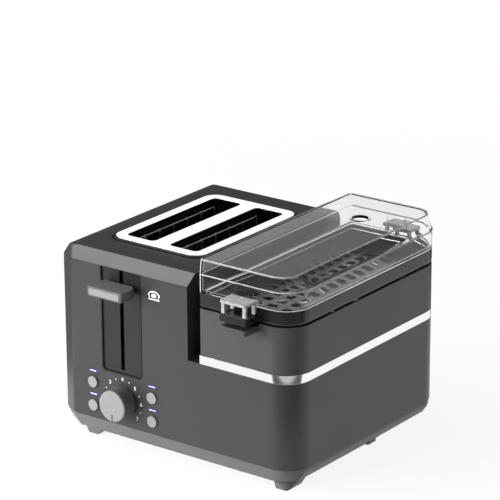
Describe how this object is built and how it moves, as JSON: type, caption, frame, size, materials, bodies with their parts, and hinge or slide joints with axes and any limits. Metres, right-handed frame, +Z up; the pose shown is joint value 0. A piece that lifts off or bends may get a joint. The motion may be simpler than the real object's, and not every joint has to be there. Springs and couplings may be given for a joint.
{
  "type": "toaster with egg station",
  "caption": "Toaster tower with two bread slots, lever, dial and buttons, beside a steam station with a stack of egg tray, poaching pans, warming tray and clear lid.",
  "frame": {"origin": "middle of the whole machine's footprint, on the worktop", "axes": "+Z up, +Y from the control face to the back, +X from the toaster tower to the egg station"},
  "size_m": [0.28, 0.29, 0.2072],
  "materials": {
    "charcoal_plastic": "moulded, satin",
    "black_plastic": "moulded, satin",
    "dark_plastic": "moulded, satin",
    "grey_plastic": "moulded, matte",
    "pale_plastic": "moulded, painted silver grey",
    "polished_steel": "polished",
    "sheet_steel": "rolled sheet",
    "mica": "pressed mica board",
    "ribbon": "nickel chrome ribbon",
    "coated_tub": "black non-stick coating on aluminium",
    "pan_coating": "black non-stick coating on aluminium",
    "clear_plastic": "clear moulded polycarbonate",
    "blue_lens": "lit diffuse blue",
    "circuit_board": "green solder mask",
    "element": "cast",
    "rubber": "moulded"
  },
  "bodies": {
    "base": {"outer_shell": "charcoal_plastic", "lever_panel": "charcoal_plastic", "trim_carrier": "black_plastic", "slot_trim": "polished_steel", "base_pan": "grey_plastic", "feet": "grey_plastic", "base_screws": "sheet_steel", "steel_band": "polished_steel", "reservoir": "coated_tub", "boiler_element": "element", "boiler_thermostat": "sheet_steel", "chassis_front": "sheet_steel", "chassis_rear": "sheet_steel", "heater_boards": "mica", "heater_wires": "ribbon", "bread_guides": "sheet_steel", "heat_shield": "sheet_steel", "guide_rod": "sheet_steel", "latch_magnet": "sheet_steel", "timer_pot": "black_plastic", "control_board": "circuit_board", "led_lenses": "blue_lens", "cord_gland": "rubber"},
    "carriage": {"carriage": "sheet_steel", "bread_racks": "sheet_steel", "lever_knob": "dark_plastic", "lever_face": "pale_plastic", "return_spring": "sheet_steel"},
    "timer_dial": {"timer_shaft": "sheet_steel", "timer_knob": "dark_plastic", "dial_face": "pale_plastic"},
    "upper_left_button": {"button_upper_left": "pale_plastic"},
    "lower_left_button": {"button_lower_left": "pale_plastic"},
    "upper_right_button": {"button_upper_right": "pale_plastic"},
    "lower_right_button": {"button_lower_right": "pale_plastic"},
    "crumb_drawer": {"crumb_tray": "sheet_steel"},
    "egg_tray": {"egg_tray": "charcoal_plastic", "pan_posts": "sheet_steel"},
    "front_pan": {"pan_front": "pan_coating", "pan_front_handle": "polished_steel"},
    "rear_pan": {"pan_rear": "pan_coating", "pan_rear_handle": "polished_steel"},
    "warming_tray": {"warming_tray": "black_plastic"},
    "lid": {"lid": "clear_plastic"}
  },
  "joints": [
    {"name": "lever_slide", "type": "slide", "parent": "base", "child": "carriage", "axis": [0, 0, 1], "range_m": [-0.076, 0], "stiffness_N_per_m": 30, "springref_m": 0.12, "deforming": ["return_spring"]},
    {"name": "dial_turn", "type": "hinge", "parent": "base", "child": "timer_dial", "pos_m": [-0.0606, -0.12, 0.0436], "axis": [0, -1, 0], "range_deg": [-309, 0]},
    {"name": "upper_left_press", "type": "slide", "parent": "base", "child": "upper_left_button", "axis": [0, -1, 0], "range_m": [-0.0015, 0], "stiffness_N_per_m": 300},
    {"name": "lower_left_press", "type": "slide", "parent": "base", "child": "lower_left_button", "axis": [0, -1, 0], "range_m": [-0.0015, 0], "stiffness_N_per_m": 300},
    {"name": "upper_right_press", "type": "slide", "parent": "base", "child": "upper_right_button", "axis": [0, -1, 0], "range_m": [-0.0015, 0], "stiffness_N_per_m": 300},
    {"name": "lower_right_press", "type": "slide", "parent": "base", "child": "lower_right_button", "axis": [0, -1, 0], "range_m": [-0.0015, 0], "stiffness_N_per_m": 300},
    {"name": "crumb_tray_slide", "type": "slide", "parent": "base", "child": "crumb_drawer", "axis": [0, 1, 0], "range_m": [0, 0.212]},
    {"name": "egg_tray_lift", "type": "slide", "parent": "base", "child": "egg_tray", "axis": [0, 0, 1], "range_m": [0, 0.0313]},
    {"name": "warming_tray_lift", "type": "slide", "parent": "egg_tray", "child": "warming_tray", "axis": [0, 0, 1], "range_m": [0, 0.103]},
    {"name": "lid_lift", "type": "slide", "parent": "warming_tray", "child": "lid", "axis": [0, 0, 1], "range_m": [0, 0.0573]},
    {"name": "front_pan_lift", "type": "slide", "parent": "egg_tray", "child": "front_pan", "axis": [0, 0, 1], "range_m": [0, 0.061]},
    {"name": "rear_pan_lift", "type": "slide", "parent": "egg_tray", "child": "rear_pan", "axis": [0, 0, 1], "range_m": [0, 0.061]}
  ],
  "couplings": [
    {"joint": "front_pan_lift", "follows": "warming_tray_lift", "ratio": 0.592},
    {"joint": "rear_pan_lift", "follows": "warming_tray_lift", "ratio": 0.592}
  ]
}
